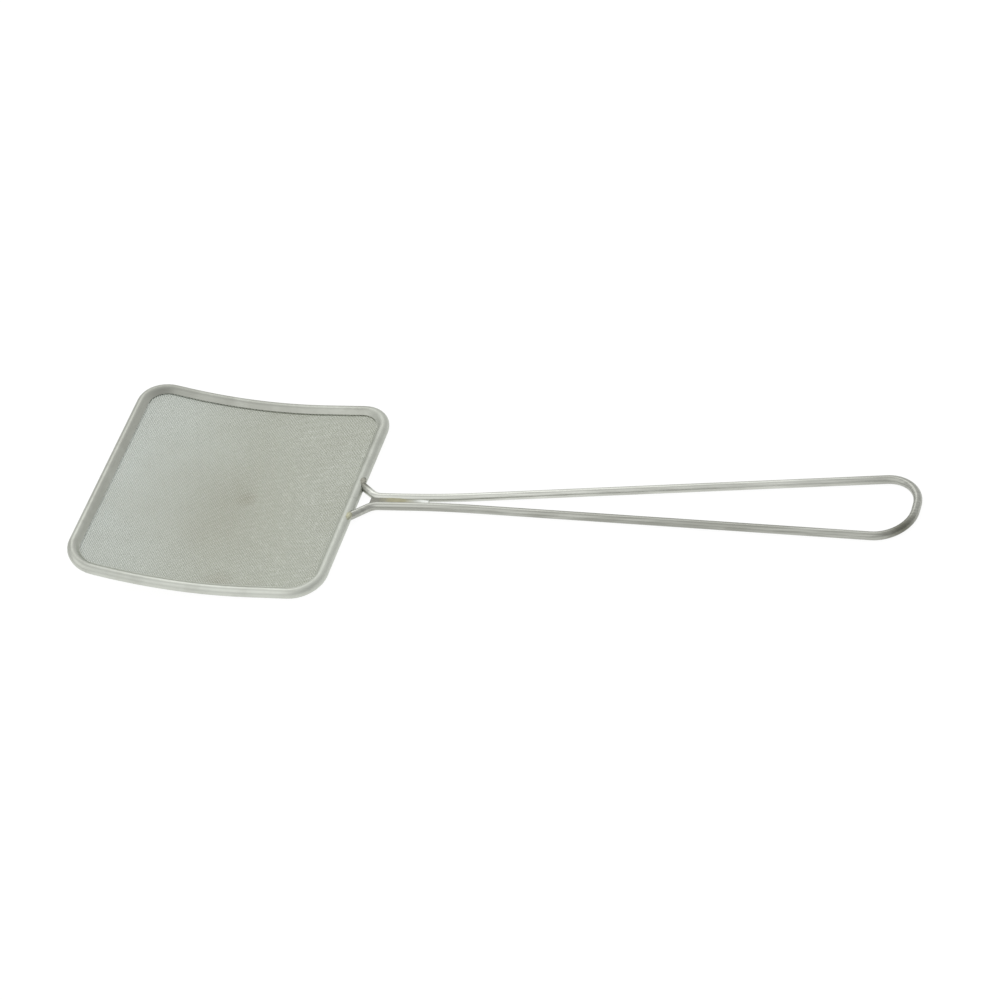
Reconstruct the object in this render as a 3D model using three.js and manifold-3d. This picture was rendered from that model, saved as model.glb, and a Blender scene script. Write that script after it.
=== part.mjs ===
// A square wire skimmer: a head of woven wire cloth in a rolled binding, on a handle of bent wire.
// Millimetres, +Z up, standing on z = 0. The handle lies along +X and the head curves up towards -X.
// Every piece is drawn flat first, with x = 0 on the back edge of the square, and then bent as one.
import * as THREE from 'three';
import { mergeVertices } from 'three/addons/utils/BufferGeometryUtils.js';
import Module from 'manifold-3d';

// Driving dimensions
const headWidth = 140; // across the square, between wire centres
const headLength = 140; // from the back edge to the front edge along the cloth, between wire centres
const cornerRadius = 15.2; // of the square, at the wire's centre
const wireDiameter = 4.5;
const handleLength = 307; // from the back edge to the far end of the loop, between wire centres
const loopWidth = 41; // of the loop at its widest, between wire centres
const loopCornerRadius = 18.3; // of the two bends that close it
const neckSpread = 26; // between the two places where the legs leave the back edge
const neckReach = 12; // from the back edge to where the legs come together
const rootRadius = 4.5; // of the bend that leads a leg out of the back edge, at the wire's centre
const neckRadius = 10; // of the bend that brings a leg beside the other
const legGap = 2.1; // between the legs where they run side by side
const splayStart = 33.5; // from the back edge to where the legs begin to part
const splayRadius = 500; // of the slow bend that parts them
const headPitch = THREE.MathUtils.degToRad(1.2); // of the flat back part of the head above the handle
const flatRun = 37; // of the head before it starts to curl up
const curlRadius = 293; // of the front part of the head
const bindingWall = 0.4;
const hemDepth = 3.4; // of the binding's lips, from the wire's centre
const seamGap = 0.4; // where the two ends of the binding meet
const clothWireDiameter = 0.8;
const clothWireCount = 16; // each way
const buttWeldLength = 0.6; // of the weld between the two ends of the frame wire
const neckWeldStart = 10; // from the back edge to the filler between the legs
const neckWeldLength = 25;
const neckWeldHeight = 2.4;
const brazeLength = 5.6; // of the drop on the root of each leg, along the back edge
const brazeWidth = 4;
const brazeHeight = 3.4;
const brazeReach = 2; // from the back edge's middle to the drop's
const brazeLift = 1.8; // of the drop's middle
const fitGap = 0.2; // between pieces that touch
const slotGap = 0.15; // round a leg where it leaves the binding, inside the binding's own clearance

// Sizes worked out from them
const wireRadius = wireDiameter / 2;
const boreRadius = wireRadius + fitGap;
const beadRadius = boreRadius + bindingWall;
const legOffset = (wireDiameter + legGap) / 2;
const armAngle = Math.atan2(neckSpread / 2 - legOffset, neckReach);
const rootTurn = Math.PI / 2 - armAngle;
const neckStart = neckReach + neckRadius * Math.tan(armAngle / 2);
const loopStraight = loopWidth / 2 - loopCornerRadius;
const loopCentre = handleLength - loopCornerRadius;
const clothLift = (clothWireDiameter + fitGap) / 2;
const hemGap = clothLift + clothWireDiameter / 2 + fitGap;
const clothInset = boreRadius + fitGap;
const neckLift = beadRadius - wireRadius;
const neckBendLength = (2 * neckLift) / headPitch;

// Fineness of the facets
const wireSides = 12;
const clothWireSides = 6;
const dropSides = 16;
const arcSteps = 3;
const longestHeadStep = 10;
const mergeDistance = 0.0002;

const wasm = await Module();
wasm.setup();

// The bend of the whole skimmer, as arcs along its length from the handle to the front
const bends = [
  { from: -neckBendLength, angle: 0, curvature: headPitch / neckBendLength },
  { from: 0, angle: headPitch, curvature: 0 },
  { from: flatRun, angle: headPitch, curvature: 1 / curlRadius },
];

function alongArc({ angle, curvature }, length) {
  const turned = angle + curvature * length;
  if (curvature === 0) {
    return { x: -length * Math.cos(angle), z: length * Math.sin(angle), turned };
  }
  return {
    x: (Math.sin(angle) - Math.sin(turned)) / curvature,
    z: (Math.cos(angle) - Math.cos(turned)) / curvature,
    turned,
  };
}

// Where a flat point goes: along the bent middle first, then square off it
function bendPoint(x, z) {
  let middle = { x: Math.max(x, neckBendLength), z: 0 };
  let turned = 0;
  for (const [i, bend] of bends.entries()) {
    const to = i + 1 < bends.length ? bends[i + 1].from : Infinity;
    const length = Math.min(-x, to) - bend.from;
    if (length > 0) {
      const step = alongArc(bend, length);
      middle = { x: middle.x + step.x, z: middle.z + step.z };
      turned = step.turned;
    }
  }
  return { x: middle.x + z * Math.sin(turned), z: middle.z + z * Math.cos(turned) };
}

function bendGeometry(geometry) {
  const position = geometry.getAttribute('position');
  for (let i = 0; i < position.count; i++) {
    const { x, z } = bendPoint(position.getX(i), position.getZ(i));
    position.setX(i, x);
    position.setZ(i, z);
  }
  geometry.computeVertexNormals();
  return geometry;
}

// A route through given points, with one section of the sweep at each of them
class PointPath extends THREE.Curve {
  constructor(points) {
    super();
    this.points = points;
  }

  getPointAt(share) {
    return this.points[Math.round(share * (this.points.length - 1))].clone();
  }

  getTangentAt(share) {
    const i = Math.round(share * (this.points.length - 1));
    const here = this.points[i];
    const tangent = new THREE.Vector3();
    if (i > 0) {
      tangent.add(here.clone().sub(this.points[i - 1]).normalize());
    }
    if (i + 1 < this.points.length) {
      tangent.add(this.points[i + 1].clone().sub(here).normalize());
    }
    return tangent.normalize();
  }
}

function sweep(section, points) {
  const extrudePath = new PointPath(points);
  return new THREE.ExtrudeGeometry(section, { steps: points.length - 1, extrudePath });
}

// Corners of a round section whose flats lie at the given radius, one of them facing up
function roundCorners(radius, sides) {
  const reach = radius / Math.cos(Math.PI / sides);
  return Array.from({ length: sides }, (_, i) => {
    const angle = ((i + 0.5) * 2 * Math.PI) / sides - Math.PI / 2;
    return new THREE.Vector2(reach * Math.cos(angle), reach * Math.sin(angle));
  });
}

function roundSection(radius, sides) {
  return new THREE.Shape(roundCorners(radius, sides));
}

// The same round, open at its foot by a gap of the given half width
function openRound(radius, halfGap) {
  const foot = -Math.sqrt(radius ** 2 - halfGap ** 2);
  const kept = roundCorners(radius, wireSides).filter(({ x, y }) => y > foot && (y > 0 || Math.abs(x) > halfGap));
  return [new THREE.Vector2(halfGap, foot), ...kept, new THREE.Vector2(-halfGap, foot)];
}

// The points of a flat outline, with long stretches cut where they have to bend
function outlinePoints(path) {
  const corners = path.getPoints(arcSteps);
  const points = [];
  for (const [i, corner] of corners.entries()) {
    const last = corners[Math.max(i - 1, 0)];
    const bending = Math.min(last.x, corner.x) < neckBendLength;
    const cuts = bending ? Math.ceil(Math.abs(corner.x - last.x) / longestHeadStep) : 1;
    for (let k = 1; k < cuts; k++) {
      points.push(last.clone().lerp(corner, k / cuts));
    }
    points.push(corner);
  }
  const apart = points.filter((point, i) => i === 0 || point.distanceTo(points[i - 1]) > fitGap);
  return apart.map(({ x, y }) => new THREE.Vector3(x, y, 0));
}

function mirrored(points) {
  return points.map(({ x, y, z }) => new THREE.Vector3(x, -y, z)).reverse();
}

// Half of the square, from the front edge to the back edge, each begun or ended off its middle
function halfSquare(frontStart, backEnd) {
  const centreX = -headLength + cornerRadius;
  const centreY = headWidth / 2 - cornerRadius;
  const path = new THREE.Path();
  path.moveTo(-headLength, frontStart);
  path.lineTo(-headLength, centreY);
  path.absarc(centreX, centreY, cornerRadius, Math.PI, Math.PI / 2, true);
  path.absarc(-cornerRadius, centreY, cornerRadius, Math.PI / 2, 0, true);
  path.lineTo(0, backEnd);
  return path;
}

function rootStart() {
  return neckSpread / 2 + rootRadius * Math.tan(rootTurn / 2);
}

// One leg, from the end of a path on the back edge to the far end of the loop
function addLeg(path) {
  const splayCentre = legOffset + splayRadius;
  const run = loopCentre - splayStart;
  const rise = splayCentre - loopStraight;
  const splay = Math.asin((splayRadius + loopCornerRadius) / Math.hypot(run, rise)) - Math.atan2(rise, run);
  path.absarc(rootRadius, rootStart(), rootRadius, Math.PI, Math.PI + rootTurn, false);
  path.absarc(neckStart, legOffset + neckRadius, neckRadius, -Math.PI / 2 - armAngle, -Math.PI / 2, false);
  path.absarc(splayStart, splayCentre, splayRadius, -Math.PI / 2, splay - Math.PI / 2, false);
  path.absarc(loopCentre, loopStraight, loopCornerRadius, Math.PI / 2 + splay, 0, true);
  path.lineTo(handleLength, 0);
  return path;
}

function frameWirePoints() {
  const half = outlinePoints(addLeg(halfSquare(buttWeldLength / 2 + fitGap, rootStart())));
  return [...half, ...mirrored(half).slice(1)];
}

function solidOf(geometry) {
  const bare = geometry.clone();
  bare.deleteAttribute('normal');
  bare.deleteAttribute('uv');
  const merged = mergeVertices(bare, mergeDistance);
  const vertProperties = new Float32Array(merged.getAttribute('position').array);
  const triVerts = new Uint32Array(merged.getIndex().array);
  return new wasm.Manifold(new wasm.Mesh({ numProp: 3, vertProperties, triVerts }));
}

function geometryOf(solid) {
  const mesh = solid.getMesh();
  const geometry = new THREE.BufferGeometry();
  geometry.setAttribute('position', new THREE.BufferAttribute(mesh.vertProperties, mesh.numProp));
  geometry.setIndex(new THREE.BufferAttribute(mesh.triVerts, 1));
  return geometry;
}

// The wire with room round it, which cuts whatever is fitted to it
function wireCutter(room) {
  return solidOf(sweep(roundSection(wireRadius + room, wireSides), frameWirePoints()));
}

function frameWire() {
  return bendGeometry(sweep(roundSection(wireRadius, wireSides), frameWirePoints()));
}

// The weld that closes the square, in line with the wire it joins
function buttWeld() {
  const ends = [-1, 1].map((side) => new THREE.Vector3(-headLength, (side * buttWeldLength) / 2, 0));
  return bendGeometry(sweep(roundSection(wireRadius, wireSides), ends));
}

// The strip: round the wire, with two lips that take the edge of the cloth, and slots for the legs
function rimBinding() {
  const outer = openRound(beadRadius, hemGap + bindingWall);
  const inner = openRound(boreRadius, hemGap).reverse();
  const lips = [hemGap + bindingWall, -hemGap - bindingWall, -hemGap, hemGap];
  const tips = lips.map((x) => new THREE.Vector2(x, -hemDepth));
  const section = new THREE.Shape([tips[0], ...outer, tips[1], tips[2], ...inner, tips[3]]);
  const half = outlinePoints(halfSquare(0, seamGap / 2));
  const strip = solidOf(sweep(section, [...mirrored(half), ...half.slice(1)]));
  return bendGeometry(geometryOf(strip.subtract(wireCutter(slotGap))));
}

// The filler between the legs, hollowed on both sides by the round of the wire
function neckWeld() {
  const bar = new THREE.BoxGeometry(neckWeldLength, 2 * legOffset, neckWeldHeight);
  bar.translate(neckWeldStart + neckWeldLength / 2, 0, 0);
  return bendGeometry(geometryOf(solidOf(bar).subtract(wireCutter(fitGap))));
}

// The drop of braze on top of a leg's root: side 1 is at +Y, -1 at -Y
function neckBraze(side) {
  const drop = new THREE.SphereGeometry(1 / 2, dropSides, dropSides / 2);
  drop.scale(brazeWidth, brazeLength, brazeHeight);
  drop.translate(brazeReach, (side * neckSpread) / 2, brazeLift);
  const binding = new THREE.CylinderGeometry(beadRadius + fitGap, beadRadius + fitGap, headWidth, dropSides * 2);
  const cut = solidOf(drop).subtract(wireCutter(fitGap)).subtract(solidOf(binding));
  return bendGeometry(geometryOf(cut));
}

const pitchAcross = headWidth / (clothWireCount + 1);
const pitchAlong = headLength / (clothWireCount + 1);

// How far the cloth reaches past the middle of one rounded corner, at a distance from that middle
function clothReach(offset) {
  const inside = cornerRadius - clothInset;
  return offset > 0 ? Math.sqrt(Math.max(inside ** 2 - offset ** 2, 0)) - cornerRadius : -clothInset;
}

// A wire of the cloth in its own plane: distance along, height. It goes over and under at every crossing
function clothRoute(length, reach, pitch, first) {
  const ends = [-reach, length + reach];
  const crossings = Array.from({ length: clothWireCount }, (_, i) => (i + 1) * pitch);
  const room = clothWireDiameter;
  const route = crossings.map((along, i) => [along, (first + i) % 2 === 0 ? clothLift : -clothLift]);
  const kept = route.filter(([along]) => along > ends[0] + room && along < ends[1] - room);
  return [[ends[0], 0], ...kept, [ends[1], 0]];
}

function clothWire(points) {
  return bendGeometry(sweep(roundSection(clothWireDiameter / 2, clothWireSides), points));
}

// A wire from the handle side to the front
function warpWire(index) {
  const y = (index + 1) * pitchAcross - headWidth / 2;
  const reach = clothReach(Math.abs(y) - headWidth / 2 + cornerRadius);
  const route = clothRoute(headLength, reach, pitchAlong, index);
  return clothWire(route.map(([along, z]) => new THREE.Vector3(-along, y, z)));
}

// A wire from side to side
function weftWire(index) {
  const along = (index + 1) * pitchAlong;
  const reach = clothReach(cornerRadius - Math.min(along, headLength - along));
  const route = clothRoute(headWidth, reach, pitchAcross, index + 1);
  return clothWire(route.map(([across, z]) => new THREE.Vector3(-along, across - headWidth / 2, z)));
}

const drawnWire = new THREE.MeshStandardMaterial({ color: 0xb4b7ad, roughness: 0.3, metalness: 1 });
const rolledStrip = new THREE.MeshStandardMaterial({ color: 0xbabdb2, roughness: 0.35, metalness: 1 });
const clothSteel = new THREE.MeshStandardMaterial({ color: 0xb1b5aa, roughness: 0.4, metalness: 1 });
const weldSteel = new THREE.MeshStandardMaterial({ color: 0x9a9a86, roughness: 0.5, metalness: 1 });
const brass = new THREE.MeshStandardMaterial({ color: 0xc3b878, roughness: 0.45, metalness: 1 });

const skimmer = new THREE.Group();

function addPiece(name, geometry, material) {
  const piece = new THREE.Mesh(geometry, material);
  piece.name = name;
  skimmer.add(piece);
}

addPiece('frame_wire', frameWire(), drawnWire);
addPiece('butt_weld', buttWeld(), weldSteel);
addPiece('rim_binding', rimBinding(), rolledStrip);
addPiece('neck_weld', neckWeld(), weldSteel);
addPiece('neck_braze_left', neckBraze(1), brass);
addPiece('neck_braze_right', neckBraze(-1), brass);
for (let i = 0; i < clothWireCount; i++) {
  const number = String(i + 1).padStart(2, '0');
  addPiece(`warp_wire_${number}`, warpWire(i), clothSteel);
  addPiece(`weft_wire_${number}`, weftWire(i), clothSteel);
}

// The origin lies under the middle of the skimmer's length, on the surface that it stands on
const front = bendPoint(-headLength, 0);
skimmer.position.set(-(front.x - beadRadius + handleLength + wireRadius) / 2, 0, wireRadius);

export default skimmer;
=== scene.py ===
# A square wire skimmer, dressed for the camera: smooth bent wire, a rolled rim and a fine woven cloth.
import math

import bpy
from mathutils import Matrix, Vector


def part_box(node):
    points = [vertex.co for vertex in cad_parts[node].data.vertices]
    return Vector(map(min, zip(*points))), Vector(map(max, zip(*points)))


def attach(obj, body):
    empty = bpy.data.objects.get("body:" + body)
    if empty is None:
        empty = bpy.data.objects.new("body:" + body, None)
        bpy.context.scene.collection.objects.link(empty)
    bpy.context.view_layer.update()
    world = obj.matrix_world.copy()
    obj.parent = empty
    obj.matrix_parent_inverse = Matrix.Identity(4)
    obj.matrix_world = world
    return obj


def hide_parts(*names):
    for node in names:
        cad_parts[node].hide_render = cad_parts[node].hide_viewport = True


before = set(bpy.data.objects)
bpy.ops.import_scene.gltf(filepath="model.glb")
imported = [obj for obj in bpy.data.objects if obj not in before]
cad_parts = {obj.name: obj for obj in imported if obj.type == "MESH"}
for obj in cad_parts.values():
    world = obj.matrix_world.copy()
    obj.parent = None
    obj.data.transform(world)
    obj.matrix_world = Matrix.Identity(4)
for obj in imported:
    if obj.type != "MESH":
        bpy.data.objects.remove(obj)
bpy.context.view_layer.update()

mm = 0.001
touching = 0.01 * mm  # points closer than this become one

# Sizes that several pieces share, in millimetres, on the flat drawing with x = 0 on the back edge
skimmer = {
    "headWidth": 140,
    "headLength": 140,
    "cornerRadius": 15.2,
    "wireRadius": 2.25,
    "handleLength": 307,
    "loopStraight": 2.2,  # half of the straight end of the loop
    "loopCorner": 18.3,
    "neckSpread": 26,
    "neckReach": 12,
    "rootRadius": 4.5,
    "neckRadius": 10,
    "legOffset": 3.3,
    "splayStart": 33.5,
    "splayRadius": 500,
    "headPitch": math.radians(1.2),
    "neckLift": 0.6,
    "flatRun": 37,
    "curlRadius": 293,
}
neckBend = 2 * skimmer["neckLift"] / skimmer["headPitch"]  # length of handle that takes up the pitch
pitchArc = neckBend / skimmer["headPitch"]
armAngle = math.atan2(skimmer["neckSpread"] / 2 - skimmer["legOffset"], skimmer["neckReach"])
rootTurn = math.pi / 2 - armAngle
rootStart = skimmer["neckSpread"] / 2 + skimmer["rootRadius"] * math.tan(rootTurn / 2)


def bentPoint(point):  # where a point of the flat drawing goes on the bent skimmer
    x, y, z = point
    pitch, flat, curl = skimmer["headPitch"], skimmer["flatRun"], skimmer["curlRadius"]
    middle = Vector((max(x, neckBend), 0))
    angle = 0
    if x < neckBend:
        angle = (neckBend - max(x, 0)) / pitchArc
        middle = Vector((neckBend - pitchArc * math.sin(angle), pitchArc * (1 - math.cos(angle))))
    if x < 0:
        run = min(-x, flat)
        middle += Vector((-run * math.cos(pitch), run * math.sin(pitch)))
    if x < -flat:
        angle = pitch + (-x - flat) / curl
        middle += Vector((math.sin(pitch) - math.sin(angle), math.cos(pitch) - math.cos(angle))) * curl
    return Vector((middle.x + z * math.sin(angle), y, middle.y + z * math.cos(angle)))


# The drawing stands in the frame where the solids do
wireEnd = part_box("frame_wire")[1].x / mm
shift = Vector((wireEnd - skimmer["handleLength"] - skimmer["wireRadius"], 0, skimmer["wireRadius"]))


def bendPiece(piece, dents=()):
    for vertex in piece.data.vertices:
        point = vertex.co / mm
        for x, y, radius, depth in dents:
            point.z -= depth * math.exp(-((point.x - x) ** 2 + (point.y - y) ** 2) / radius**2)
        vertex.co = (bentPoint(point) + shift) * mm
    piece.data.update()


def deselect():
    if bpy.context.mode != "OBJECT":
        bpy.ops.object.mode_set(mode="OBJECT")
    bpy.ops.object.select_all(action="DESELECT")


def activate(piece):
    deselect()
    piece.select_set(True)
    bpy.context.view_layer.objects.active = piece


def named(name):
    piece = bpy.context.object
    piece.name = name
    piece.data.name = name
    return piece


def applyModifier(piece, kind, **settings):
    activate(piece)
    modifier = piece.modifiers.new(kind.lower(), kind)
    for key, value in settings.items():
        setattr(modifier, key, value)
    bpy.ops.object.modifier_apply(modifier=modifier.name)


def mirrorAcross(piece):
    applyModifier(piece, "MIRROR", use_axis=(False, True, False), merge_threshold=touching)


def settle(piece):  # puts the object's place into its mesh
    activate(piece)
    bpy.ops.object.transform_apply(location=True, rotation=True, scale=True)


def smooth(piece, degrees):
    activate(piece)
    bpy.ops.object.shade_smooth_by_angle(angle=math.radians(degrees))


def editAll(piece):
    activate(piece)
    bpy.ops.object.mode_set(mode="EDIT")
    bpy.ops.mesh.select_all(action="SELECT")


def pick(piece, wanted):  # edit mode, with only the wanted vertices selected
    editAll(piece)
    bpy.ops.mesh.select_all(action="DESELECT")
    bpy.ops.object.mode_set(mode="OBJECT")
    for vertex in piece.data.vertices:
        vertex.select = wanted(vertex.co)
    bpy.ops.object.mode_set(mode="EDIT")


def turnOut(piece, closeHoles=True):
    editAll(piece)
    bpy.ops.mesh.remove_doubles(threshold=touching)
    if closeHoles:
        bpy.ops.mesh.fill_holes(sides=0)  # of any number of sides
    bpy.ops.mesh.select_all(action="SELECT")
    bpy.ops.mesh.normals_make_consistent(inside=False)
    bpy.ops.object.mode_set(mode="OBJECT")


def dress(piece, slot, *nodes):
    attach(piece, "root")
    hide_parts(*nodes)


# Drawing with the selected edges: straight stretches are extruded and corners are spun
straightStep = {"edge": 8, "side": 4, "arm": 2, "pair": 3, "leg": 20, "loopEnd": 3}  # mm between cuts
arcSteps = {"corner": 10, "root": 8, "neck": 8, "splay": 14, "loop": 20}


def uprightRing(name, sides, radius, across):  # round the front edge, ready to be drawn along it
    deselect()
    bpy.ops.mesh.primitive_circle_add(
        vertices=sides,
        radius=radius * mm,
        location=(-skimmer["headLength"] * mm, across * mm, 0),
        rotation=(math.pi / 2, 0, 0),
    )
    ring = named(name)
    settle(ring)
    return ring


def drawLine(start, end, step):
    run = Vector(end) - Vector(start)
    cuts = max(1, math.ceil(run.length / step))
    move = (run.x * mm / cuts, run.y * mm / cuts, 0)
    for cut in range(cuts):
        bpy.ops.mesh.extrude_region_move(TRANSFORM_OT_translate={"value": move})


def drawArc(centre, leftTurn, steps):
    middle = (centre[0] * mm, centre[1] * mm, 0)
    bpy.ops.mesh.spin(steps=steps, angle=-leftTurn, center=middle, axis=(0, 0, 1))


def drawHalfSquare(frontStart, backEnd):
    side = skimmer["headWidth"] / 2
    front = -skimmer["headLength"]
    radius = skimmer["cornerRadius"]
    drawLine((front, frontStart), (front, side - radius), straightStep["edge"])
    drawArc((front + radius, side - radius), -math.pi / 2, arcSteps["corner"])
    drawLine((front + radius, side), (-radius, side), straightStep["side"])
    drawArc((-radius, side - radius), -math.pi / 2, arcSteps["corner"])
    drawLine((0, side - radius), (0, backEnd), straightStep["edge"])


def drawLeg():
    offset, splayRadius = skimmer["legOffset"], skimmer["splayRadius"]
    corner, straight, splayStart = skimmer["loopCorner"], skimmer["loopStraight"], skimmer["splayStart"]
    rootRadius, neckRadius = skimmer["rootRadius"], skimmer["neckRadius"]
    loopEnd = skimmer["handleLength"]
    loopCentre = loopEnd - corner
    run, rise = loopCentre - splayStart, offset + splayRadius - straight
    splay = math.asin((splayRadius + corner) / math.hypot(run, rise)) - math.atan2(rise, run)
    along = Vector((math.cos(armAngle), -math.sin(armAngle)))
    armStart = Vector((0, skimmer["neckSpread"] / 2)) + along * rootRadius * math.tan(rootTurn / 2)
    armEnd = Vector((skimmer["neckReach"], offset)) - along * neckRadius * math.tan(armAngle / 2)
    neckStart = skimmer["neckReach"] + neckRadius * math.tan(armAngle / 2)
    splayEnd = (splayStart + splayRadius * math.sin(splay), offset + splayRadius * (1 - math.cos(splay)))
    loopStart = (loopCentre - corner * math.sin(splay), straight + corner * math.cos(splay))
    drawArc((rootRadius, rootStart), rootTurn, arcSteps["root"])
    drawLine(armStart, armEnd, straightStep["arm"])
    drawArc((neckStart, offset + neckRadius), armAngle, arcSteps["neck"])
    drawLine((neckStart, offset), (splayStart, offset), straightStep["pair"])
    drawArc((splayStart, offset + splayRadius), splay, arcSteps["splay"])
    drawLine(splayEnd, loopStart, straightStep["leg"])
    drawArc((loopCentre, straight), -math.pi / 2 - splay, arcSteps["loop"])
    drawLine((loopEnd, straight), (loopEnd, 0), straightStep["loopEnd"])


# The frame: one wire, round the square and out along the handle
frameWireSizes = {
    "sides": 24,
    "frontStart": 0.5,  # from the middle of the front edge, where the butt weld lies
    "slotGap": 0.15,  # round a leg where it leaves the rim
    "sharpOver": 50,  # degrees
}


def drawWire(name, radius):
    wire = uprightRing(name, frameWireSizes["sides"], radius, frameWireSizes["frontStart"])
    editAll(wire)
    drawHalfSquare(frameWireSizes["frontStart"], rootStart)
    drawLeg()
    bpy.ops.object.mode_set(mode="OBJECT")
    mirrorAcross(wire)
    turnOut(wire)
    return wire


frameWire = drawWire("frameWire", skimmer["wireRadius"])
legCutter = drawWire("legCutter", skimmer["wireRadius"] + frameWireSizes["slotGap"])
bendPiece(frameWire)
smooth(frameWire, frameWireSizes["sharpOver"])
dress(frameWire, "drawn_wire", "frame_wire")
print("frame wire drawn,", len(frameWire.data.polygons), "faces")


# The rim: a strip rolled round the wire, whose two lips hold the edge of the cloth
rimSizes = {
    "beadRadius": 2.85,
    "sides": 36,
    "mouth": math.radians(33),  # half of the opening that faces the cloth
    "wall": 0.16,
    "throat": 1.4,  # where the strip closes on the cloth
    "throatScale": 0.36,
    "lip": 0.15,
    "seam": 0.05,  # half of the gap between the strip's two ends
    "sharpOver": 35,  # degrees
}


def drawRim():
    rim = uprightRing("rimBinding", rimSizes["sides"], rimSizes["beadRadius"], 0)
    mouth = (rimSizes["beadRadius"] * math.cos(rimSizes["mouth"]) - skimmer["headLength"]) * mm
    pick(rim, lambda point: point.x > mouth)
    bpy.ops.mesh.delete(type="VERT")
    bpy.ops.object.mode_set(mode="OBJECT")
    lipRoot = max(vertex.co.x for vertex in rim.data.vertices)
    pick(rim, lambda point: point.x > lipRoot - touching)
    bpy.ops.mesh.extrude_region_move(TRANSFORM_OT_translate={"value": (rimSizes["throat"] * mm, 0, 0)})
    bpy.ops.transform.resize(value=(1, 1, rimSizes["throatScale"]), center_override=(0, 0, 0))
    bpy.ops.mesh.extrude_region_move(TRANSFORM_OT_translate={"value": (rimSizes["lip"] * mm, 0, 0)})
    bpy.ops.mesh.select_all(action="SELECT")
    drawHalfSquare(0, rimSizes["seam"])
    bpy.ops.object.mode_set(mode="OBJECT")
    mirrorAcross(rim)
    turnOut(rim, closeHoles=False)
    top = max(rim.data.polygons, key=lambda face: face.center.z)
    if top.normal.z < 0:
        editAll(rim)
        bpy.ops.mesh.flip_normals()
        bpy.ops.object.mode_set(mode="OBJECT")
    applyModifier(rim, "SOLIDIFY", thickness=rimSizes["wall"] * mm, offset=-1)
    applyModifier(rim, "BOOLEAN", operation="DIFFERENCE", object=legCutter, solver="EXACT")
    return rim


rimBinding = drawRim()
bpy.data.objects.remove(legCutter, do_unlink=True)
bendPiece(rimBinding)
smooth(rimBinding, rimSizes["sharpOver"])
dress(rimBinding, "rolled_strip", "rim_binding")
print("rim rolled,", len(rimBinding.data.polygons), "faces")


# The cloth: one wave of wire, repeated along its length and then across the head
clothSizes = {
    "pitch": 0.93,
    "wireRadius": 0.32,
    "flatness": 0.54,  # of a wire's height to its width
    "lift": 0.175,  # of a wire over the one it crosses
    "sides": 4,
    "waves": 74,
    "inset": 2.7,  # of the cloth's edge from the middle of the frame wire
    "cornerSteps": 12,
    "blankDepth": 6,
    "dents": [(-61, -1, 9, 1.0), (-92, 28, 14, 0.6), (-34, -38, 12, 0.5)],  # x, y, radius, depth
    "sharpOver": 50,  # degrees
}


def clothBlank():  # the rounded square that the cloth is cut to
    inset = clothSizes["inset"]
    depth = clothSizes["blankDepth"] * mm
    corner = (skimmer["cornerRadius"] - inset) * mm
    deselect()
    bpy.ops.mesh.primitive_plane_add(size=1, location=(0, 0, -depth / 2))
    blank = named("clothBlank")
    blank.scale = ((skimmer["headLength"] - 2 * inset) * mm, (skimmer["headWidth"] - 2 * inset) * mm, 1)
    settle(blank)
    editAll(blank)
    bpy.ops.mesh.bevel(offset=corner, segments=clothSizes["cornerSteps"], affect="VERTICES")
    bpy.ops.mesh.select_all(action="SELECT")
    bpy.ops.mesh.extrude_region_move(TRANSFORM_OT_translate={"value": (0, 0, depth)})
    bpy.ops.object.mode_set(mode="OBJECT")
    turnOut(blank)
    return blank


def weaveWires():
    pitch, lift = clothSizes["pitch"] * mm, clothSizes["lift"] * mm
    first = (0.5 - clothSizes["waves"]) * pitch  # the outermost wire, with the cloth's middle at 0
    deselect()
    bpy.ops.mesh.primitive_cylinder_add(
        vertices=clothSizes["sides"],
        radius=clothSizes["wireRadius"] * mm,
        depth=2 * pitch,
        end_fill_type="NOTHING",
        location=(first + pitch, first, -lift),
        rotation=(0, math.pi / 2, 0),
    )
    wires = named("clothWarp")
    settle(wires)
    editAll(wires)
    bpy.ops.transform.resize(value=(1, 1, clothSizes["flatness"]), center_override=(0, 0, -lift))
    bpy.ops.mesh.bisect(plane_co=(first + pitch, 0, 0), plane_no=(1, 0, 0))
    bpy.ops.transform.translate(value=(0, 0, 2 * lift))  # the cut ring becomes the crest of the wave
    bpy.ops.object.mode_set(mode="OBJECT")
    repeat = {"use_relative_offset": False, "use_constant_offset": True, "count": clothSizes["waves"]}
    applyModifier(
        wires,
        "ARRAY",
        constant_offset_displace=(2 * pitch, 0, 0),
        use_merge_vertices=True,
        merge_threshold=touching,
        **repeat,
    )
    turnOut(wires)
    editAll(wires)
    bpy.ops.mesh.duplicate_move(TRANSFORM_OT_translate={"value": (0, pitch, 0)})
    bpy.ops.transform.rotate(value=math.pi, orient_axis="X", center_override=(0, first + pitch, 0))
    bpy.ops.object.mode_set(mode="OBJECT")
    applyModifier(wires, "ARRAY", constant_offset_displace=(0, 2 * pitch, 0), **repeat)
    return wires


def copyAcross(warp):
    weft = warp.copy()
    weft.data = warp.data.copy()
    weft.name = "clothWeft"
    weft.data.name = "clothWeft"
    bpy.context.collection.objects.link(weft)
    weft.rotation_euler = (math.pi, 0, math.pi / 2)
    settle(weft)
    return weft


def trimToHead(wires, blank):
    applyModifier(wires, "BOOLEAN", operation="INTERSECT", object=blank, solver="MANIFOLD")
    wires.data.transform(Matrix.Translation((-skimmer["headLength"] / 2 * mm, 0, 0)))
    bendPiece(wires, clothSizes["dents"])
    smooth(wires, clothSizes["sharpOver"])


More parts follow.
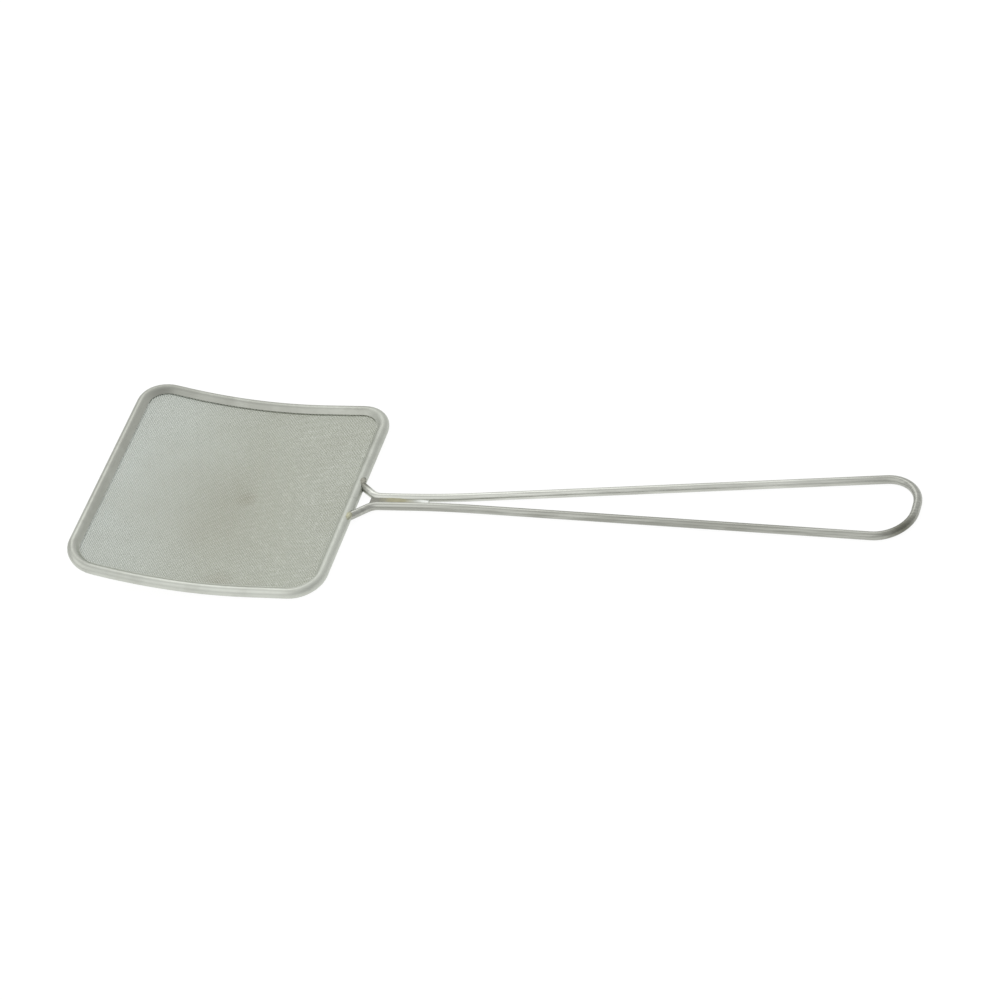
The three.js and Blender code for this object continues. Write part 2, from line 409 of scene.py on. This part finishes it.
blank = clothBlank()
clothWarp = weaveWires()
clothWeft = copyAcross(clothWarp)
for wires in (clothWarp, clothWeft):
    trimToHead(wires, blank)
bpy.data.objects.remove(blank, do_unlink=True)
warpNodes = sorted(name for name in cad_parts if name.startswith("warp_wire"))
weftNodes = sorted(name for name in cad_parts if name.startswith("weft_wire"))
dress(clothWarp, "cloth_wire", *warpNodes)
dress(clothWeft, "cloth_wire", *weftNodes)
print("cloth woven,", len(clothWarp.data.polygons), "and", len(clothWeft.data.polygons), "faces")


def roughen(piece, grain, amount):
    clouds = bpy.data.textures.new(piece.name + "Grain", "CLOUDS")
    clouds.noise_scale = grain * mm
    applyModifier(piece, "DISPLACE", texture=clouds, strength=amount * mm, texture_coords="GLOBAL")


# The filler run in between the legs
fillerSizes = {
    "start": 10,
    "length": 33,
    "width": 3.6,
    "height": 2.7,
    "cuts": 11,
    "mouth": 3,  # of the end towards the head, which is wider and lower
    "mouthScale": (1, 1.5, 0.75),
    "tail": 15,  # of the other end, which runs out between the legs
    "tailScale": (1, 1, 0.6),
    "sinks": [(45, 0, 6, 0.5)],  # x, y, radius, depth
    "grain": 1.2,
    "rough": 0.35,
    "sharpOver": 60,  # degrees
}


def neckFiller():
    start, length = fillerSizes["start"], fillerSizes["length"]
    deselect()
    bpy.ops.mesh.primitive_cube_add(size=1, location=((start + length / 2) * mm, 0, 0))
    filler = named("neckFiller")
    filler.scale = (length * mm, fillerSizes["width"] * mm, fillerSizes["height"] * mm)
    settle(filler)
    editAll(filler)
    bpy.ops.mesh.subdivide(number_cuts=fillerSizes["cuts"])
    bpy.ops.object.mode_set(mode="OBJECT")
    mouth = (start + fillerSizes["mouth"]) * mm
    pick(filler, lambda point: point.x < mouth)
    bpy.ops.transform.resize(value=fillerSizes["mouthScale"], center_override=(0, 0, 0))
    tail = (start + length - fillerSizes["tail"]) * mm
    pick(filler, lambda point: point.x > tail)
    bpy.ops.transform.resize(value=fillerSizes["tailScale"], center_override=(0, 0, 0))
    bpy.ops.object.mode_set(mode="OBJECT")
    applyModifier(filler, "SUBSURF", levels=1, render_levels=1)
    roughen(filler, fillerSizes["grain"], fillerSizes["rough"])
    bendPiece(filler, fillerSizes["sinks"])
    smooth(filler, fillerSizes["sharpOver"])
    return filler


# The drops of braze on the roots of the legs
brazeSizes = {
    "length": 6.2,
    "width": 4.4,
    "height": 2.0,
    "across": 1.6,
    "up": 1.75,
    "segments": 40,
    "rings": 20,
    "grain": 1.6,
    "rough": 0.7,
    "sharpOver": 60,  # degrees
}


def brazeDrop(name, side):
    deselect()
    middle = side * skimmer["neckSpread"] / 2
    bpy.ops.mesh.primitive_uv_sphere_add(
        segments=brazeSizes["segments"],
        ring_count=brazeSizes["rings"],
        radius=0.5,
        location=(brazeSizes["across"] * mm, middle * mm, brazeSizes["up"] * mm),
    )
    drop = named(name)
    drop.scale = (brazeSizes["width"] * mm, brazeSizes["length"] * mm, brazeSizes["height"] * mm)
    settle(drop)
    roughen(drop, brazeSizes["grain"], brazeSizes["rough"])
    bendPiece(drop)
    smooth(drop, brazeSizes["sharpOver"])
    return drop


neckWeld = neckFiller()
brazeLeft = brazeDrop("brazeLeft", 1)
brazeRight = brazeDrop("brazeRight", -1)
dress(neckWeld, "weld", "neck_weld")
dress(brazeLeft, "braze", "neck_braze_left")
dress(brazeRight, "braze", "neck_braze_right")
print("neck filled")


# Shader values that can be added and multiplied like numbers
class Value:
    def __init__(self, tree, socket):
        self.tree = tree
        self.socket = socket

    def math(self, operation, first, second):
        node = self.tree.nodes.new("ShaderNodeMath")
        node.operation = operation
        fill(self.tree, node.inputs[0], first)
        fill(self.tree, node.inputs[1], second)
        return Value(self.tree, node.outputs[0])

    def __add__(self, other):
        return self.math("ADD", self, other)

    def __radd__(self, other):
        return self.math("ADD", other, self)

    def __sub__(self, other):
        return self.math("SUBTRACT", self, other)

    def __rsub__(self, other):
        return self.math("SUBTRACT", other, self)

    def __mul__(self, other):
        return self.math("MULTIPLY", self, other)

    def __rmul__(self, other):
        return self.math("MULTIPLY", other, self)


def fill(tree, socket, value):
    if isinstance(value, Value):
        tree.links.new(value.socket, socket)
    elif socket.type == "RGBA":
        socket.default_value = (*value, 1)
    else:
        socket.default_value = value


class Nodes:
    def __init__(self, tree):
        self.tree = tree

    def add(self, kind, inputs, output=0, stops=(), **settings):
        node = self.tree.nodes.new(kind)
        for key, value in settings.items():
            setattr(node, key, value)
        for index, (place, tint) in enumerate(stops):
            ramp = node.color_ramp.elements
            element = ramp[index] if index < 2 else ramp.new(place)  # a new ramp has two stops
            element.position = place
            element.color = (*tint, 1)
        for key, value in inputs.items():
            fill(self.tree, node.inputs[key], value)
        return Value(self.tree, node.outputs[output])

    def place(self):
        return self.add("ShaderNodeTexCoord", {}, "Object")

    def axis(self, place, letter):
        return self.add("ShaderNodeSeparateXYZ", {"Vector": place}, letter)

    def noise(self, place, scale, detail=3.0, roughness=0.55):
        inputs = {"Vector": place, "Scale": scale, "Detail": detail, "Roughness": roughness}
        return self.add("ShaderNodeTexNoise", inputs, "Fac")

    def stretched(self, place, scale):
        return self.add("ShaderNodeMapping", {"Vector": place, "Scale": scale})

    def blend(self, mask, first, second):
        inputs = {"Factor": mask, 6: first, 7: second}
        return self.add("ShaderNodeMix", inputs, 2, data_type="RGBA")

    def ramp(self, value, stops):
        return self.add("ShaderNodeValToRGB", {"Fac": value}, "Color", stops)

    def fade(self, value, start, end, top=1.0):  # 0 at the start, and the top at the end
        return self.add("ShaderNodeMapRange", {"Value": value, 1: start, 2: end, 4: top})

    def spot(self, place, sizes):  # full in the middle and gone at the radius
        inputs = {0: place, 1: sizes["place"]}
        away = self.add("ShaderNodeVectorMath", inputs, "Value", operation="DISTANCE")
        reach = {"Value": away, 1: sizes["radius"], 2: 0.0, 4: sizes["depth"]}
        return self.add("ShaderNodeMapRange", reach, interpolation_type="SMOOTHSTEP")

    def bump(self, height, strength, distance):
        return self.add("ShaderNodeBump", {"Height": height, "Strength": strength, "Distance": distance})


def newMaterial(name):
    material = bpy.data.materials.new(name)
    material.use_nodes = True
    return material, Nodes(material.node_tree)


def layMetal(nodes, shade, roughness, relief=None):
    shader = nodes.tree.nodes["Principled BSDF"].inputs
    shader["Metallic"].default_value = 1
    fill(nodes.tree, shader["Base Color"], shade)
    fill(nodes.tree, shader["Roughness"], roughness)
    if relief:
        fill(nodes.tree, shader["Normal"], relief)


# The finishes: places and reaches in metres in the frame, relief as strength and depth
drawnLook = {
    "dull": (0.33, 0.335, 0.30),
    "bright": (0.74, 0.755, 0.70),
    # near-black tone of the painted shade
    "shadeTone": (0.13, 0.13, 0.10),
    "nearLevel": 0.22,  # of brightness on the near leg, which is painted darker than the far one as shade
    "farPaintedLight": 0.5,
    "legs": (-0.004, 0.004),  # from the near leg, painted as shade, to the far one, painted as light
    "loop": (0.15, 0.2),  # along which the far leg's painted light fades out and the wire gets darker
    "loopLoss": 0.05,
    "darkerMiddle": {"place": (0.095, 0, 0.002), "radius": 0.11, "depth": 0.24},  # darker along the middle of the handle
    "loopCornerShade": {"place": (0.218, -0.0145, 0.002), "radius": 0.0145, "depth": 0.85},  # painted dark reflection on the loop's near corner
    "farRootShade": {"place": (-0.081, 0.0115, 0.004), "radius": 0.010, "depth": 0.85},  # painted shade on the far leg's root
    "patches": 35,
    "patchShare": 0.3,
    "dieMarks": (9, 900, 900),  # noise drawn out along the handle
    "markDetail": 2.0,
    "markShare": 0.9,
    "smoothest": 0.2,
    "roughShare": 0.1,
    "relief": (0.2, 0.1 * mm),
}


def drawnSteel():
    look = drawnLook
    material, nodes = newMaterial("drawnSteel")
    place = nodes.place()
    far = nodes.fade(nodes.axis(place, "Y"), *look["legs"])
    # darker towards the loop end
    towardLoop = nodes.fade(nodes.axis(place, "X"), *look["loop"])
    patches = nodes.noise(place, look["patches"])
    marks = nodes.noise(nodes.stretched(place, look["dieMarks"]), 1.0, look["markDetail"])
    # painted light and shade: the far leg is made lighter and the near leg darker
    lift = look["farPaintedLight"] * far * (1 - towardLoop)
    level = look["nearLevel"] + lift - look["loopLoss"] * towardLoop - nodes.spot(place, look["darkerMiddle"])
    streaks = look["patchShare"] * (patches - 0.5) + look["markShare"] * (marks - 0.5)
    beforeShade = nodes.blend(level + streaks, look["dull"], look["bright"])
    # painted shade: a dark reflection on the loop's near corner and shade on the far leg's root
    dark = nodes.spot(place, look["loopCornerShade"]) + nodes.spot(place, look["farRootShade"])
    shade = nodes.blend(dark, beforeShade, look["shadeTone"])
    roughness = look["smoothest"] + look["roughShare"] * (patches + marks)
    layMetal(nodes, shade, roughness, nodes.bump(marks, *look["relief"]))
    return material


rolledLook = {
    "dull": (0.43, 0.44, 0.395),
    "bright": (0.60, 0.62, 0.565),
    "level": 0.5,
    "sideFall": 5.5,  # of brightness lost in a metre towards the far side, painted light on the near side
    "front": (-0.2, -0.22, 0.45),  # from, to, and by how much it is painted darker as shade
    "back": (-0.1, -0.09, 0.4),  # from, to, and by how much it is painted lighter as light
    "backRoughness": 0.4,
    "patches": 75,
    "patchDetail": 4.0,
    "patchShare": 1.5,
    "dents": 110,
    "dentDetail": 1.0,
    "dentShare": 0.7,
    "scuffs": (500, 500, 1500),
    "scuffDetail": 5.0,
    "scuffShare": 0.1,
    "smoothest": 0.29,
    "roughShare": 0.18,
    "relief": (0.35, 0.6 * mm),
}


def rolledSteel():
    look = rolledLook
    material, nodes = newMaterial("rolledSteel")
    place = nodes.place()
    along = nodes.axis(place, "X")
    across = nodes.axis(place, "Y")
    front = nodes.fade(along, *look["front"])
    back = nodes.fade(along, *look["back"])
    patches = nodes.noise(place, look["patches"], look["patchDetail"])
    dents = nodes.noise(place, look["dents"], look["dentDetail"])
    scuffs = nodes.noise(nodes.stretched(place, look["scuffs"]), 1.0, look["scuffDetail"])
    # painted light and shade: lighter towards the near side and at the back, darker at the front
    level = look["level"] - look["sideFall"] * across - front + back
    shade = nodes.blend(level + look["patchShare"] * (patches - 0.5), look["dull"], look["bright"])
    roughness = look["smoothest"] + look["roughShare"] * scuffs + look["backRoughness"] * back
    height = look["dentShare"] * dents + look["scuffShare"] * scuffs
    layMetal(nodes, shade, roughness, nodes.bump(height, *look["relief"]))
    return material


clothLook = {
    "grey": (0.51, 0.54, 0.46),
    "pale": (0.62, 0.65, 0.575),
    "paintedFrontLight": (0.70, 0.75, 0.71),
    "brown": (0.41, 0.405, 0.32),
    "glintColour": (0.85, 0.88, 0.82),
    "patches": 22,
    "patchDetail": 4.0,
    "front": (-0.15, -0.22),  # along which the cloth is painted lighter and bluish, as light on its upturned front
    "frontShare": 0.6,
    "grime": 30,
    "grimeDetail": 2.0,
    "grimeShare": 0.4,
    "stainsAndShade": [
        {"place": (-0.1455, -0.001, 0.005), "radius": 0.008, "depth": 0.4},  # a darker spot in the middle
        {"place": (-0.141, -0.064, 0.005), "radius": 0.012, "depth": 0.3},  # at the near edge
        {"place": (-0.155, -0.008, 0.006), "radius": 0.05, "depth": 0.22},  # painted shade over the whole hollow
    ],
    "glints": 420,
    "glintDetail": 1.0,
    "glintLevels": (0.56, 0.72),
    "glintReach": (-0.15, -0.12, 0.22),  # from, to, and how strong the painted glints are towards the handle
    "smoothest": 0.5,
    "roughShare": 0.2,
}


def clothSteel():
    look = clothLook
    material, nodes = newMaterial("clothSteel")
    place = nodes.place()
    along = nodes.axis(place, "X")
    patches = nodes.noise(place, look["patches"], look["patchDetail"])
    # painted light: the upturned front of the cloth is made lighter and bluish
    paintedFrontLight = nodes.fade(along, *look["front"]) * look["frontShare"] * (1 + patches)
    beforeStains = nodes.blend(paintedFrontLight, nodes.blend(patches, look["grey"], look["pale"]), look["paintedFrontLight"])
    dark = look["grimeShare"] * nodes.noise(place, look["grime"], look["grimeDetail"])
    # a real stain at the near edge, a darker spot in the middle and painted shade over the hollow
    for darkSpot in look["stainsAndShade"]:
        dark = dark + nodes.spot(place, darkSpot)
    stainedAndShaded = nodes.blend(dark, beforeStains, look["brown"])
    # painted glints: small specks lightened towards white
    specks = nodes.noise(place, look["glints"], look["glintDetail"])
    glints = nodes.fade(specks, *look["glintLevels"]) * nodes.fade(along, *look["glintReach"])
    shade = nodes.blend(glints, stainedAndShaded, look["glintColour"])
    layMetal(nodes, shade, look["smoothest"] + look["roughShare"] * patches)
    return material


weldLook = {
    "run": (-0.076, -0.042),  # from the head outwards
    # darker and brownish towards the head; the pale last stops are painted light over the shaded end of
    # the tail
    "runTones": [
        (0.2, (0.25, 0.25, 0.22)),
        (0.38, (0.36, 0.345, 0.24)),
        (0.6, (0.36, 0.345, 0.24)),
        (0.8, (0.50, 0.51, 0.47)),
        (0.95, (0.88, 0.90, 0.87)),
    ],
    "patches": 300,
    "patchShare": 0.25,
    "smoothest": 0.35,
    "roughShare": 0.25,
    "grain": 900,
    "relief": (0.3, 0.15 * mm),
}


def weldSteel():
    look = weldLook
    material, nodes = newMaterial("weldSteel")
    place = nodes.place()
    patches = nodes.noise(place, look["patches"])
    alongRun = nodes.fade(nodes.axis(place, "X"), *look["run"]) + look["patchShare"] * (patches - 0.5)
    shade = nodes.ramp(alongRun, look["runTones"])
    roughness = look["smoothest"] + look["roughShare"] * patches
    layMetal(nodes, shade, roughness, nodes.bump(nodes.noise(place, look["grain"]), *look["relief"]))
    return material


brazeLook = {
    "drops": (0.01, -0.01),  # from the far drop, which is darker, to the near one
    "darkerFar": [(0.35, (0.20, 0.20, 0.17)), (0.65, (0.42, 0.42, 0.36))],
    "yellow": [(0.35, (0.38, 0.39, 0.31)), (0.65, (0.52, 0.515, 0.37))],
    "patches": 400,
    "smoothest": 0.34,
    "roughShare": 0.2,
    "grain": 1200,
    "relief": (0.4, 0.2 * mm),
}


def brazeBrass():
    look = brazeLook
    material, nodes = newMaterial("brazeBrass")
    place = nodes.place()
    near = nodes.fade(nodes.axis(place, "Y"), *look["drops"])
    patches = nodes.noise(place, look["patches"])
    shade = nodes.blend(near, nodes.ramp(patches, look["darkerFar"]), nodes.ramp(patches, look["yellow"]))
    roughness = look["smoothest"] + look["roughShare"] * patches
    layMetal(nodes, shade, roughness, nodes.bump(nodes.noise(place, look["grain"]), *look["relief"]))
    return material


def coat(piece, material):
    piece.data.materials.clear()
    piece.data.materials.append(material)


clothFinish = clothSteel()
weldFinish = weldSteel()
brazeFinish = brazeBrass()
coat(frameWire, drawnSteel())
coat(rimBinding, rolledSteel())
coat(clothWarp, clothFinish)
coat(clothWeft, clothFinish)
coat(neckWeld, weldFinish)
coat(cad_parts["butt_weld"], weldFinish)
coat(brazeLeft, brazeFinish)
coat(brazeRight, brazeFinish)
print("finishes laid on")


# The stage: a pale floor, a soft studio and the camera of the photograph
white = (1, 1, 1)
stageSizes = {"floor": 12.0, "drop": 0.05 * mm, "glow": 0.92, "floorTone": (0.14, 0.14, 0.14)}


def seenDirectly(nodes):  # 1 for the camera, and for what shows in metal
    rays = ["Is Camera Ray", "Is Glossy Ray", "Is Transmission Ray"]
    first, second, third = [nodes.add("ShaderNodeLightPath", {}, ray) for ray in rays]
    return first + second + third


def layFloor():
    deselect()
    bpy.ops.mesh.primitive_plane_add(size=stageSizes["floor"], location=(0, 0, -stageSizes["drop"]))
    floor = named("floor")
    material, nodes = newMaterial("paleFloor")
    matt = nodes.add("ShaderNodeBsdfDiffuse", {"Color": stageSizes["floorTone"]})
    strength = stageSizes["glow"] * seenDirectly(nodes)
    glow = nodes.add("ShaderNodeEmission", {"Color": white, "Strength": strength})
    both = nodes.add("ShaderNodeAddShader", {0: matt, 1: glow})
    fill(nodes.tree, nodes.tree.nodes["Material Output"].inputs["Surface"], both)
    coat(floor, material)


skySizes = {
    "zenith": 0.9,
    "fall": 0.15,  # of brightness from the zenith to the horizon
    "darkSide": (0.66, -0.36, 0.66),
    "darkness": 0.3,
}


def hangSky():
    world = bpy.data.worlds.new("studio")
    bpy.context.scene.world = world
    world.use_nodes = True
    nodes = Nodes(world.node_tree)
    towards = nodes.add("ShaderNodeTexCoord", {}, "Generated")
    height = nodes.axis(towards, "Z")
    sides = {0: towards, 1: skySizes["darkSide"]}
    side = nodes.add("ShaderNodeVectorMath", sides, "Value", operation="DOT_PRODUCT")
    facing = side.math("MAXIMUM", side, 0.0)
    dark = skySizes["darkness"] * facing * facing * facing
    level = skySizes["zenith"] - skySizes["fall"] * (1 - height) - dark
    camera = nodes.add("ShaderNodeLightPath", {}, "Is Camera Ray")
    background = world.node_tree.nodes["Background"].inputs
    fill(nodes.tree, background["Color"], white)
    fill(nodes.tree, background["Strength"], level * (1 - camera) + camera)


lampSizes = {
    "key": {"place": (-0.7, 1.1, 1.3), "size": 1.0, "power": 2.6},
    "fill": {"place": (-0.9, -0.9, 1.1), "size": 1.6, "power": 3.2},
}


def hangLamp(name, place, size, power):
    lamp = bpy.data.lights.new(name, "AREA")
    lamp.size = size
    lamp.energy = power
    holder = bpy.data.objects.new(name, lamp)
    bpy.context.collection.objects.link(holder)
    holder.location = place
    holder.rotation_euler = Vector(place).to_track_quat("Z", "Y").to_euler()


# The camera's place round the skimmer, from the fit to the outline in the photograph
cameraSizes = {
    "azimuth": 28.127,
    "elevation": 40.355,
    "roll": -18.484,
    "distance": 2.0,
    "lens": 137.95,
    "clipEnd": 50,
    "pivot": (90, 0, 0),  # on the flat drawing
    "slide": (6.35, -1.797),
}


def placeCamera():
    azimuth, elevation, roll = [math.radians(cameraSizes[key]) for key in ("azimuth", "elevation", "roll")]
    back = Vector((
        math.sin(azimuth) * math.cos(elevation),
        -math.cos(azimuth) * math.cos(elevation),
        math.sin(elevation),
    ))
    level = Vector((math.cos(azimuth), math.sin(azimuth), 0))
    upright = back.cross(level)
    right = math.cos(roll) * level + math.sin(roll) * upright
    up = math.cos(roll) * upright - math.sin(roll) * level
    slide = cameraSizes["slide"]
    pivot = (Vector(cameraSizes["pivot"]) + shift) * mm
    place = pivot + back * cameraSizes["distance"] - right * slide[0] * mm - up * slide[1] * mm
    lens = bpy.data.cameras.new("camera")
    lens.lens = cameraSizes["lens"]
    lens.clip_end = cameraSizes["clipEnd"]
    camera = bpy.data.objects.new("camera", lens)
    bpy.context.collection.objects.link(camera)
    turn = Matrix((right, up, back)).transposed().to_4x4()
    camera.matrix_world = Matrix.Translation(place) @ turn
    bpy.context.scene.camera = camera


layFloor()
hangSky()
for name, lamp in lampSizes.items():
    hangLamp(name, **lamp)
placeCamera()
bpy.context.scene.view_settings.view_transform = "Standard"
print("stage set")
